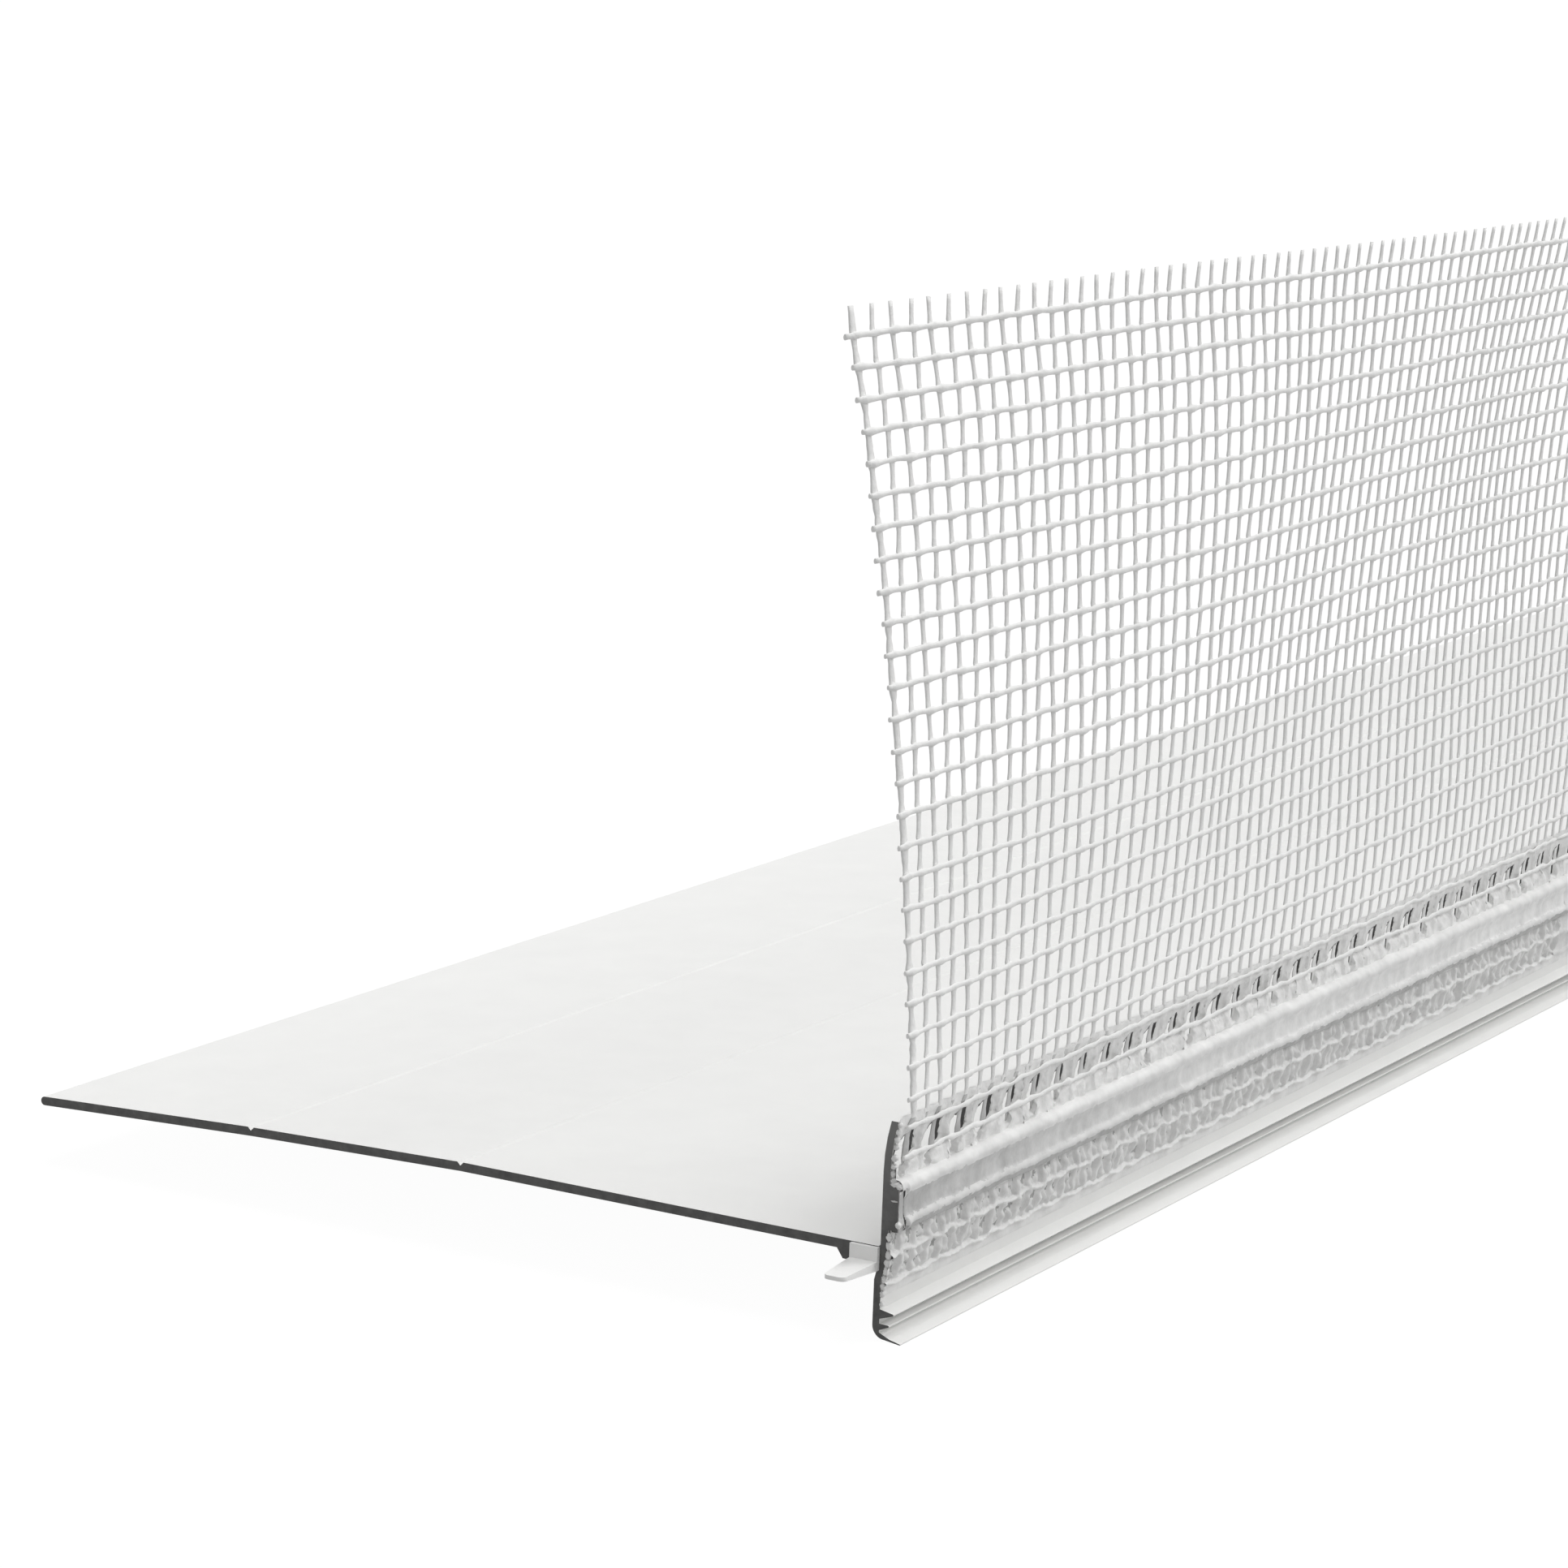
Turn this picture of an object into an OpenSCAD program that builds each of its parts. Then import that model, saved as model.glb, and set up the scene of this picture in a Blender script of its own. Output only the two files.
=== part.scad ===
// Base drip profile for rendered facades, as 2 m of stock: an extruded PVC angle with a drip lip,
// a glass mesh strip welded to its front leg, and a plug connector in its near end.
// X points to the front (the rendered side), Y runs along the stock, Z is up.
// The origin is the bottom centre of the whole part, the connector's tongue included.

/* [Stock] */
// Length of the profile
length = 2000; // [500:10:3000]
// Height of the front leg, from its heel to its top edge
leg_h = 28.7; // [27.5:0.1:40]
// Thickness of the front leg
leg_t = 1; // [0.8:0.1:1.4]

/* [Sheet] */
// Width of the sheet, from the back of the leg to its tip, measured flat
sheet_w = 135; // [115:1:220]
// Thickness of the sheet
sheet_t = 1.25; // [0.8:0.05:1.6]
// Height of the sheet's top face over the heel
sheet_top = 12.15; // [11:0.05:13]
// Radius of the fillet between the sheet's top face and the leg
fillet_r = 0.4; // [0.2:0.1:1.5]
// Distance of the inner score line from the leg
score_inner = 64; // [40:0.5:80]
// Distance of the outer score line from the leg
score_outer = 98.5; // [85:0.5:110]
// Width of a score line's groove at the top face
score_w = 1; // [0.4:0.1:2]
// Depth of a score line's groove
score_depth = 0.5; // [0.2:0.1:0.6]
// Droop of the strip between the score lines, in degrees
droop_mid = 1.7; // [0:0.1:3]
// Droop of the outer strip, in degrees
droop_outer = 2.6; // [0:0.1:4]

/* [Leg] */
// Height of the leg's curled top stretch
curl_h = 6.7; // [4:0.1:7]
// Radius of the curl towards the front, at the leg's back
curl_r = 26; // [20:1:80]
// Distance that the leg steps back below the sheet
step_back = 0.75; // [0:0.05:0.9]
// Height over which the leg steps back
step_h = 3.2; // [2:0.1:4]
// Height of the weld band's underside over the heel
band_z = 14.4; // [14:0.1:15]
// Height of the weld band
band_h = 6; // [5:0.1:6.2]
// Distance that the weld band's ridges stand proud of the leg
band_out = 1.6; // [1.5:0.1:2.4]
// Height of the band's upper ridge, with its flat top
ridge_h = 1.4; // [1:0.1:2]
// Height of the band's lower ridge, with the slopes over and under its face
low_ridge_h = 1.6; // [1.4:0.1:1.8]
// Height of the lower ridge's face
low_face_h = 0.4; // [0.2:0.1:0.6]
// Depth of the hollow between the band's two ridges
band_hollow = 0.3; // [0.1:0.05:0.5]
// Depth by which the lower ridge is chamfered under its face
band_chamfer = 0.2; // [0.1:0.05:0.4]
// Length of the band's plain near end, which has no ridges
band_plain = 1.2; // [0.5:0.1:3]

/* [Slots] */
// Distance from one slot to the next
slot_pitch = 7; // [6:0.1:10]
// Width of a slot
slot_w = 4.5; // [2:0.1:5]
// Height of a slot
slot_h = 5.8; // [3:0.1:6]
// Distance from the weld band's top to the slots
slot_gap = 0.7; // [0.4:0.1:1]
// Distance from the near end to the first slot, and the least distance to the far end
slot_start = 0.5; // [0.3:0.1:5]

/* [Drip edge] */
// Radius of the leg's rounded heel
heel_r = 1.8; // [1:0.1:2.1]
// Distance that the upper plaster rib stands out of the leg
rib_upper_out = 2; // [1:0.1:3]
// Height of the upper plaster rib's tip over the heel
rib_upper_z = 3.45; // [3.3:0.05:3.6]
// Height at which the upper plaster rib's underside leaves the leg
rib_upper_foot = 2.65; // [2.4:0.05:3]
// Height of the upper plaster rib at its root
rib_upper_root = 1.3; // [1:0.1:1.5]
// Distance that the lower plaster rib stands out of the leg
rib_lower_out = 1.4; // [0.8:0.1:2]
// Height of the lower plaster rib's tip over the heel
rib_lower_z = 1.85; // [1.75:0.05:2.1]
// Height at which the lower plaster rib's underside leaves the leg
rib_lower_foot = 1.15; // [1.05:0.05:1.3]
// Height of the lower plaster rib at its root
rib_lower_root = 0.9; // [0.7:0.1:1]
// Radius of a plaster rib's rounded tip
rib_tip_r = 0.15; // [0.1:0.05:0.25]
// Distance that the drip lip stands out of the leg
lip_out = 3.1; // [2.6:0.05:5]
// Distance that the drip lip's underside drops from the heel to its tip
lip_drop = 0.3; // [0.1:0.05:0.5]
// Thickness of the drip lip at its tip
lip_tip_t = 0.15; // [0.1:0.05:0.25]
// Thickness of the drip lip where its thick root begins
lip_t = 0.3; // [0.25:0.05:0.5]
// Distance that the lip's thick root reaches out of the leg
lip_root_out = 1.5; // [1.4:0.05:2]
// Height of the lip's root over the heel, on the leg
lip_root_h = 0.9; // [0.6:0.1:1]

/* [Connector] */
// Width of the chamber under the sheet, from the leg to the hook rib
chamber_w = 4.25; // [4:0.05:8]
// Depth of the hook rib that closes the chamber
hook_h = 1.3; // [1:0.1:3]
// Width of the hook rib at the sheet
hook_root = 2.1; // [1.4:0.1:2.5]
// Width of the hook rib at its tip
hook_tip = 1.15; // [0.5:0.05:1.3]
// Clearance between the connector and the chamber's sides
plug_gap = 0.1; // [0.05:0.05:0.3]
// Height of the connector in the chamber
plug_h = 1.9; // [1.6:0.1:2.4]
// Depth that the connector is pushed into the chamber
plug_in = 25; // [10:1:60]
// Thickness of the connector's collar, which stops at the profile's end
collar_t = 0.6; // [0.3:0.1:2]
// Height of the collar over the tongue's top face
collar_h = 1.85; // [1:0.05:1.9]
// Length of the connector's tongue outside the profile
tongue_out = 9.1; // [4:0.1:40]
// Width of the tongue at its tip
tongue_tip_w = 3.1; // [2:0.1:3.2]
// Thickness of the tongue at the collar
tongue_t = 1.2; // [0.8:0.1:1.5]
// Thickness of the tongue at its tip
tongue_tip_t = 0.55; // [0.4:0.05:0.8]
// Radius of the tongue's rounded corners
tongue_r = 0.9; // [0.3:0.1:1]

/* [Mesh strip] */
// Height of the mesh's top yarn over the leg's top edge
mesh_free = 98.3; // [60:1:180]
// Distance from one lengthwise yarn to the next
row_pitch = 4; // [3:0.1:8]
// Width and thickness of a lengthwise yarn
row_t = 0.5; // [0.3:0.05:0.8]
// Upright strands for each slot
strands_per_slot = 2; // [1:1:3]
// Width of an upright strand
strand_w = 0.7; // [0.4:0.05:1.1]
// Thickness of an upright strand
strand_t = 0.3; // [0.2:0.05:0.5]
// Length of the strands' loose fringe over the top yarn
fringe = 3.7; // [1:0.1:10]
// Height of the mesh's glued lower edge over the heel
glued_z = 5.4; // [5:0.1:7]
// Thickness of the mesh's glued lower edge
glued_t = 0.4; // [0.3:0.05:0.8]

/* [Hidden] */
$fn = 48;
// Keeps two faces of one piece from only just touching
bite = 0.05;

sheet_under = sheet_top - sheet_t;
// The leg's foot, below its step, and the middle of its heel
foot_back = -step_back;
foot_front = leg_t - step_back;
heel_x = foot_back + heel_r;
step_z = sheet_under - step_h;
band_top = band_z + band_h;

// The curl is an arc at the leg's back, and carries its top edge this far to the front
curl_z = leg_h - curl_h;
curl_out = curl_r - sqrt(curl_r * curl_r - curl_h * curl_h);

slot_z = band_top + slot_gap;
slot_count = floor((length - 2 * slot_start - slot_w) / slot_pitch) + 1;

// The upright strands stand on the weld band, in front of the curled edge
strand_x = leg_t + curl_out;
strand_pitch = slot_pitch / strands_per_slot;
strand_start = slot_start + slot_w / 2;
strand_count = floor((length - 2 * strand_start) / strand_pitch) + 1;
// The lengthwise yarns lie in front of the strands
row_x = strand_x + strand_t;
mesh_top = leg_h + mesh_free;
row_count = floor((mesh_top - band_top) / row_pitch) + 1;

// The sheet's outer two strips, and how far the tip reaches back
mid_w = score_outer - score_inner;
outer_w = sheet_w - score_outer;
outer_x = score_inner + mid_w * cos(droop_mid);
tip_x = -outer_x - (outer_w - sheet_t / 2) * cos(droop_outer) - sheet_t / 2 * (1 - sin(droop_outer));
front_x = max(foot_front + lip_out, row_x + row_t, leg_t + band_out);

// Sections have X = 0 at the leg's back and Z = 0 at its heel, and the part stands on its lip
module centred() {
    translate([-(tip_x + front_x) / 2, (tongue_out - length) / 2, lip_drop]) children();
}

// Lays a section that is drawn in X and Z along the stock, which starts at Y = 0
module along(from, to) {
    translate([0, to, 0]) rotate([90, 0, 0]) linear_extrude(to - from) children();
}

// A stretch of the sheet from X = 0 towards -X, under Z = 0
module strip(w) {
    translate([-w, -sheet_t]) square([w, sheet_t]);
}

module score_line() {
    rise = 0.1;
    half = score_w / 2 * (1 + rise / score_depth);
    polygon([[half, rise], [-half, rise], [0, -score_depth]]);
}

// The sheet: three strips, each drooping from the score line before it, and a rounded tip
module sheet_section() {
    translate([0, sheet_top]) difference() {
        union() {
            strip(score_inner);
            translate([-score_inner, 0]) rotate(droop_mid) strip(mid_w);
            translate([-outer_x, -mid_w * sin(droop_mid)]) rotate(droop_outer) {
                strip(outer_w - sheet_t / 2);
                translate([sheet_t / 2 - outer_w, -sheet_t / 2]) circle(d = sheet_t);
            }
        }
        translate([-score_inner, 0]) score_line();
        translate([-outer_x, -mid_w * sin(droop_mid)]) score_line();
    }
}

// The leg over its foot, to its curled top edge, with the fillet in the corner over the sheet
module leg_section() {
    polygon([[foot_back, step_z], [foot_front, step_z], [leg_t, sheet_under], [0, sheet_under]]);
    translate([0, sheet_under]) square([leg_t, curl_z - sheet_under]);
    translate([0, curl_z]) intersection() {
        translate([curl_r, 0]) difference() {
            circle(r = curl_r);
            circle(r = curl_r - leg_t);
        }
        square([strand_x, curl_h]);
    }
    translate([-fillet_r, sheet_top]) difference() {
        square(fillet_r);
        translate([0, fillet_r]) circle(r = fillet_r);
    }
}

// The leg's foot and the drip lip, which hangs a little below the round heel
module foot_section() {
    outside = 1;
    knee_x = foot_front + lip_root_out;
    end_x = foot_front + lip_out;
    knee_z = -lip_drop * (knee_x - heel_x) / (end_x - heel_x);
    difference() {
        union() {
            translate([foot_back, 0]) square([leg_t, step_z]);
            polygon([
                [foot_front - bite, 0],
                [heel_x, 0],
                [end_x, -lip_drop],
                [end_x, lip_tip_t - lip_drop],
                [knee_x, knee_z + lip_t],
                [foot_front - bite, lip_root_h],
            ]);
        }
        difference() {
            translate([foot_back - outside, -outside]) square(heel_r + outside);
            translate([heel_x, heel_r]) circle(r = heel_r);
        }
    }
}

// The weld band: an upper ridge with a flat top, a shallow hollow and a lower ridge
module band_section() {
    round_r = band_out - curl_out - strand_t;
    ridge_x = leg_t + band_out;
    hollow_x = ridge_x - band_hollow;
    face_z = band_z + band_chamfer * 2;
    slope_h = band_hollow * 2;
    translate([leg_t - bite, band_top - ridge_h]) square([band_out - round_r + bite, ridge_h]);
    translate([leg_t - bite, band_top - ridge_h]) square([band_out + bite, ridge_h - round_r]);
    translate([ridge_x - round_r, band_top - round_r]) circle(r = round_r);
    polygon([
        [leg_t - bite, band_z],
        [ridge_x - band_chamfer, band_z],
        [ridge_x, face_z],
        [ridge_x, face_z + low_face_h],
        [hollow_x, band_z + low_ridge_h],
        [hollow_x, band_top - ridge_h - slope_h],
        [ridge_x, band_top - ridge_h],
        [leg_t - bite, band_top - ridge_h],
    ]);
}

// A plaster rib that tapers from its root on the leg to a rounded tip
module rib(out, tip_z, foot_z, root) {
    end_x = foot_front + out - rib_tip_r;
    polygon([
        [foot_front - bite, foot_z],
        [end_x, tip_z - rib_tip_r],
        [end_x, tip_z + rib_tip_r],
        [foot_front - bite, foot_z + root],
    ]);
    translate([end_x, tip_z]) circle(r = rib_tip_r);
}

// The rib under the sheet that closes the chamber and holds the connector
module hook() {
    translate([-chamber_w, sheet_under]) polygon([
        [-hook_tip, -hook_h],
        [0, -hook_h],
        [0, bite],
        [-hook_root, bite],
    ]);
}

module profile_section() {
    sheet_section();
    leg_section();
    foot_section();
    band_section();
    rib(rib_upper_out, rib_upper_z, rib_upper_foot, rib_upper_root);
    rib(rib_lower_out, rib_lower_z, rib_lower_foot, rib_lower_root);
    hook();
}

module slots() {
    reach = 1;
    translate([-reach, 0, 0]) rotate([90, 0, 90]) linear_extrude(strand_x + 2 * reach)
        for (i = [0 : slot_count - 1])
            translate([slot_start + i * slot_pitch, slot_z]) square([slot_w, slot_h]);
}

// Cuts the band's ridges back to its hollow near the near end
module band_end_cut() {
    outside = 1;
    translate([leg_t + band_out - band_hollow, -outside, band_z - outside])
        cube([band_hollow + outside, outside + band_plain, band_h + 2 * outside]);
}

module profile() {
    color("white") centred() difference() {
        along(0, length) profile_section();
        slots();
        band_end_cut();
    }
}

module mesh_rows() {
    color("gainsboro") centred() along(0, length)
        for (i = [0 : row_count - 1])
            translate([row_x, mesh_top - i * row_pitch - row_t / 2]) square(row_t);
}

module mesh_strands() {
    color("silver") centred() translate([strand_x, strand_start, band_top])
        linear_extrude(mesh_top + fringe - band_top)
            for (i = [0 : strand_count - 1])
                translate([0, i * strand_pitch - strand_w / 2]) square([strand_t, strand_w]);
}

// The mesh's lower edge, soaked in the weld's plastic, lies on the leg's front under the band
module mesh_glued_edge() {
    face = [[leg_t, band_z], [leg_t, sheet_under], [foot_front, step_z], [foot_front, glued_z]];
    outer = [for (i = [len(face) - 1 : -1 : 0]) face[i] + [glued_t, 0]];
    color("gainsboro") centred() along(0, length) polygon(concat(face, outer));
}

// The connector's section in the chamber: its front side follows the leg, which steps back
module plug_section() {
    polygon([
        [-plug_gap, sheet_under],
        [plug_gap - chamber_w, sheet_under],
        [plug_gap - chamber_w, sheet_under - plug_h],
        [foot_back * plug_h / step_h - plug_gap, sheet_under - plug_h],
    ]);
}

// The tongue's outline from above, which narrows on one side and has round corners
module tongue_plan() {
    left = plug_gap - chamber_w;
    right = -plug_gap;
    corner_y = tongue_r - tongue_out;
    tip_left = right - tongue_tip_w;
    polygon([
        [left, 0],
        [tip_left, corner_y],
        [tip_left + tongue_r, -tongue_out],
        [right - tongue_r, -tongue_out],
        [right, corner_y],
        [right, 0],
    ]);
    translate([tip_left + tongue_r, corner_y]) circle(r = tongue_r);
    translate([right - tongue_r, corner_y]) circle(r = tongue_r);
}

module connector() {
    under = sheet_under - plug_h;
    color("whitesmoke") centred() {
        along(0, plug_in) plug_section();
        translate([plug_gap - chamber_w, -collar_t, under])
            cube([chamber_w - 2 * plug_gap, collar_t, tongue_t + collar_h]);
        intersection() {
            translate([0, 0, under]) linear_extrude(tongue_t) tongue_plan();
            translate([-chamber_w, 0, under]) rotate([90, 0, 90]) linear_extrude(chamber_w) polygon([
                [-tongue_out, tongue_t - tongue_tip_t],
                [-collar_t, 0],
                [-collar_t, tongue_t],
                [-tongue_out, tongue_t],
            ]);
        }
    }
}

profile();
mesh_rows();
mesh_strands();
mesh_glued_edge();
connector();
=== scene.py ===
# %% [markdown]
# # A drip profile for rendered facades, with its glass mesh strip
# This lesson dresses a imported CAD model. The real object is a white extruded PVC angle. A strip of
# coated glass mesh is welded to its front leg, and a small moulded connector sits in its near end.
# All lengths below are written in millimetres and turned into metres by one helper.

# %% Load the frame
import math
import bpy
import numpy as np
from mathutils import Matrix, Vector


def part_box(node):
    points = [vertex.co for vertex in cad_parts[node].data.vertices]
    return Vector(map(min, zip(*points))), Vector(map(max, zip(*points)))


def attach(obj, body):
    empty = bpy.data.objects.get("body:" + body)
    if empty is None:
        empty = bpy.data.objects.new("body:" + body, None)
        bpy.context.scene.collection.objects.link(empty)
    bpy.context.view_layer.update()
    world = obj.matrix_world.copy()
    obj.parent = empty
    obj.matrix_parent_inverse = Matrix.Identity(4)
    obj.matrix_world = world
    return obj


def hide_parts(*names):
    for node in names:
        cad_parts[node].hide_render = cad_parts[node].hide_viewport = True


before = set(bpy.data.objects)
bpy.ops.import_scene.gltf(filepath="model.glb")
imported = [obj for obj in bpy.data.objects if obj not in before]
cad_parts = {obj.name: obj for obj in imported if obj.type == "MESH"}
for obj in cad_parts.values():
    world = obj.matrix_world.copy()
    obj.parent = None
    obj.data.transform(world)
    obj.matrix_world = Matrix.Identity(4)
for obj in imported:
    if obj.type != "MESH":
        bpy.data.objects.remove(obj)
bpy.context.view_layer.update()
MM = 0.001

# %% [markdown]
# The section is easiest to think about from the back of the leg: x counts towards the front, y
# along the stock from its near end, z up from the leg's heel. These few sizes repeat the ones
# that the CAD source names, so that the pieces made here meet the solids.

# %% Sizes of the section, in millimetres
LIP_REACH, LIP_DROP = 3.35, 0.3
LENGTH = 2000.0
LEG_T = 1.0
LEG_H = 28.7
CURL_Z, CURL_R = 22.0, 26.0
FOOT_FRONT = 0.25
SHEET_UNDER = 10.9
STEP_Z = 7.7
BAND_Z, BAND_TOP, BAND_HOLLOW_X = 14.4, 20.4, 2.3
SLOT_START, SLOT_PITCH, SLOT_W = 0.5, 7.0, 4.5
STRAND_START, STRAND_PITCH = 2.75, 3.5
ROW_PITCH, ROW_COUNT = 4.0, 27
MESH_TOP, FRINGE = 127.0, 3.7
GLUED_Z = 5.4
# The photo shows this much of the stock, so pieces have more points up to here
DETAIL_END = 230.0

profile_low, profile_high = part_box("profile")
leg_x = profile_high.x / MM - LIP_REACH
near_y = profile_low.y / MM


def placed(x, y, z):
    """Arrays of section coordinates in mm, as points of the row frame in metres."""
    x, y, z = np.broadcast_arrays(x, y, z)
    return np.stack([(x + leg_x) * MM, (y + near_y) * MM, (z + LIP_DROP) * MM], axis=-1)


def leg_front(z):
    """Where the leg's front face is over the weld band, with its curl towards the front."""
    over = np.clip(z - CURL_Z, 0, LEG_H - CURL_Z)
    return LEG_T + CURL_R - np.sqrt(CURL_R**2 - over**2)


print("leg's back at x", round(leg_x, 2), "and near end at y", round(near_y, 2))

# %% [markdown]
# The camera stands in front of the near end, a little above the mesh, and looks along the stock
# with a long lens. It is made first, so that every later step can be judged through it. It could
# be aimed at a target, but three plain angles keep the small roll that the photo has.

# %% Camera
CAMERA_X, CAMERA_Y, CAMERA_Z = 273.07, -502.4, 184.04
CAMERA_TURN = (78.824, -1.996, 30.348)
LENS = 108.07

camera_data = bpy.data.cameras.new("camera")
camera_data.lens = LENS
camera_data.sensor_width = 36.0
camera_data.clip_start, camera_data.clip_end = 0.01, 50.0
camera = bpy.data.objects.new("camera", camera_data)
camera.location = placed(CAMERA_X, CAMERA_Y, CAMERA_Z)
camera.rotation_euler = [math.radians(a) for a in CAMERA_TURN]
bpy.context.scene.collection.objects.link(camera)
bpy.context.scene.camera = camera
print("camera's lens", LENS, "mm")

# %% [markdown]
# Soft studio light: an even white surround, a wide soft sun from above and a little in front of
# the mesh, and a weaker one from the front and the far side, which brings out the weld's relief.
# Rays that see the surround or the floor directly, or in a reflection, get plain white, while the
# floor still takes the object's shadow. The light on the object itself stays plain.

# %% Surround and suns
SURROUND = 0.40
WHITE = (1, 1, 1, 1)
# Name, strength, width in degrees, and the direction that the light comes from
SUNS = (
    ("soft_sun_above", 1.3, 30, (0.12, 0.08, 0.98)),
    ("soft_sun_front", 0.93, 20, (0.62, 0.45, 0.60)),
)

scene = bpy.context.scene
scene.view_settings.view_transform = "Standard"


def seen_directly(nodes, links):
    """1 for camera, glossy and transmission rays, and 0 for the rays that light the object."""
    rays = nodes.new("ShaderNodeLightPath")
    total = rays.outputs["Is Camera Ray"]
    for name in ("Is Glossy Ray", "Is Transmission Ray"):
        more = nodes.new("ShaderNodeMath")
        more.operation = "MAXIMUM"
        links.new(total, more.inputs[0])
        links.new(rays.outputs[name], more.inputs[1])
        total = more.outputs[0]
    return total


world = bpy.data.worlds.new("surround")
world.use_nodes = True
scene.world = world
nodes, links = world.node_tree.nodes, world.node_tree.links
nodes.clear()
lit, seen = nodes.new("ShaderNodeBackground"), nodes.new("ShaderNodeBackground")
lit.inputs["Color"].default_value = seen.inputs["Color"].default_value = WHITE
lit.inputs["Strength"].default_value = SURROUND
mix = nodes.new("ShaderNodeMixShader")
out = nodes.new("ShaderNodeOutputWorld")
links.new(seen_directly(nodes, links), mix.inputs["Fac"])
links.new(lit.outputs[0], mix.inputs[1])
links.new(seen.outputs[0], mix.inputs[2])
links.new(mix.outputs[0], out.inputs["Surface"])

for name, strength, angle, direction in SUNS:
    sun_data = bpy.data.lights.new(name, "SUN")
    sun_data.energy = strength
    sun_data.angle = math.radians(angle)
    sun = bpy.data.objects.new(name, sun_data)
    sun.rotation_mode = "QUATERNION"
    sun.rotation_quaternion = Vector(direction).to_track_quat("Z", "Y")
    scene.collection.objects.link(sun)
print("surround", SURROUND, "and suns", [one[1] for one in SUNS])

# %% Floor
FLOOR_SIZE = 14
FLOOR_COLOR = (0.5, 0.5, 0.5, 1)
FLOOR_WHITE, FLOOR_GLOW = 0.88, 1.1

bpy.ops.mesh.primitive_plane_add(size=FLOOR_SIZE, location=(0, 0, 0))
floor = bpy.context.object
floor.name = "floor"
paint = bpy.data.materials.new("pale_floor")
paint.use_nodes = True
nodes, links = paint.node_tree.nodes, paint.node_tree.links
nodes.clear()
amount = nodes.new("ShaderNodeMath")
amount.operation = "MULTIPLY"
amount.inputs[1].default_value = FLOOR_WHITE
matt = nodes.new("ShaderNodeBsdfDiffuse")
matt.inputs["Color"].default_value = FLOOR_COLOR
glow = nodes.new("ShaderNodeEmission")
glow.inputs["Strength"].default_value = FLOOR_GLOW
mix = nodes.new("ShaderNodeMixShader")
out = nodes.new("ShaderNodeOutputMaterial")
links.new(seen_directly(nodes, links), amount.inputs[0])
links.new(amount.outputs[0], mix.inputs["Fac"])
links.new(matt.outputs[0], mix.inputs[1])
links.new(glow.outputs[0], mix.inputs[2])
links.new(mix.outputs[0], out.inputs["Surface"])
floor.data.materials.append(paint)
print("the floor shows", FLOOR_WHITE, "of its own white")

# %% [markdown]
# ## Shared effects
# Two effects serve several finishes. One is a faint mottling, which gives a colour, a roughness and
# a height. The other is a mask of the faces that a saw or a punch has cut, which face along the
# stock and get a painted shade. Each is a node group, built once and set up anew in each material.


# %% Node group: mottling
NOISE_DETAIL, NOISE_ROUGHNESS = 5.0, 0.6
ROUGHNESS_PLAY = -0.15


def socket(group, name, kind, way="INPUT", value=None):
    made = group.interface.new_socket(name=name, in_out=way, socket_type=kind)
    if value is not None:
        made.default_value = value
    return made


def mottling_group():
    group = bpy.data.node_groups.new("mottling", "ShaderNodeTree")
    socket(group, "Light", "NodeSocketColor", value=(0.9, 0.9, 0.9, 1))
    socket(group, "Dark", "NodeSocketColor", value=(0.8, 0.8, 0.8, 1))
    socket(group, "Scale", "NodeSocketFloat", value=200.0)
    socket(group, "Contrast", "NodeSocketFloat", value=1.0)
    socket(group, "Roughness", "NodeSocketFloat", value=0.5)
    socket(group, "Color", "NodeSocketColor", "OUTPUT")
    socket(group, "Roughness", "NodeSocketFloat", "OUTPUT")
    socket(group, "Height", "NodeSocketFloat", "OUTPUT")
    nodes, links = group.nodes, group.links
    inside, outside = nodes.new("NodeGroupInput"), nodes.new("NodeGroupOutput")
    place = nodes.new("ShaderNodeTexCoord")
    noise = nodes.new("ShaderNodeTexNoise")
    noise.inputs["Detail"].default_value = NOISE_DETAIL
    noise.inputs["Roughness"].default_value = NOISE_ROUGHNESS
    links.new(place.outputs["Object"], noise.inputs["Vector"])
    links.new(inside.outputs["Scale"], noise.inputs["Scale"])
    centred = nodes.new("ShaderNodeMath")
    centred.operation = "SUBTRACT"
    centred.inputs[1].default_value = 0.5
    links.new(noise.outputs["Fac"], centred.inputs[0])
    pulled = nodes.new("ShaderNodeMath")
    pulled.operation = "MULTIPLY_ADD"
    pulled.inputs[2].default_value = 0.5
    pulled.use_clamp = True
    links.new(centred.outputs[0], pulled.inputs[0])
    links.new(inside.outputs["Contrast"], pulled.inputs[1])
    colours = nodes.new("ShaderNodeMix")
    colours.data_type = "RGBA"
    links.new(pulled.outputs[0], colours.inputs["Factor"])
    links.new(inside.outputs["Dark"], colours.inputs["A"])
    links.new(inside.outputs["Light"], colours.inputs["B"])
    rough = nodes.new("ShaderNodeMath")
    rough.operation = "MULTIPLY_ADD"
    rough.inputs[1].default_value = ROUGHNESS_PLAY
    links.new(centred.outputs[0], rough.inputs[0])
    links.new(inside.outputs["Roughness"], rough.inputs[2])
    links.new(colours.outputs["Result"], outside.inputs["Color"])
    links.new(rough.outputs[0], outside.inputs["Roughness"])
    links.new(noise.outputs["Fac"], outside.inputs["Height"])
    return group


MOTTLING = mottling_group()
print("group", MOTTLING.name)


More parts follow.
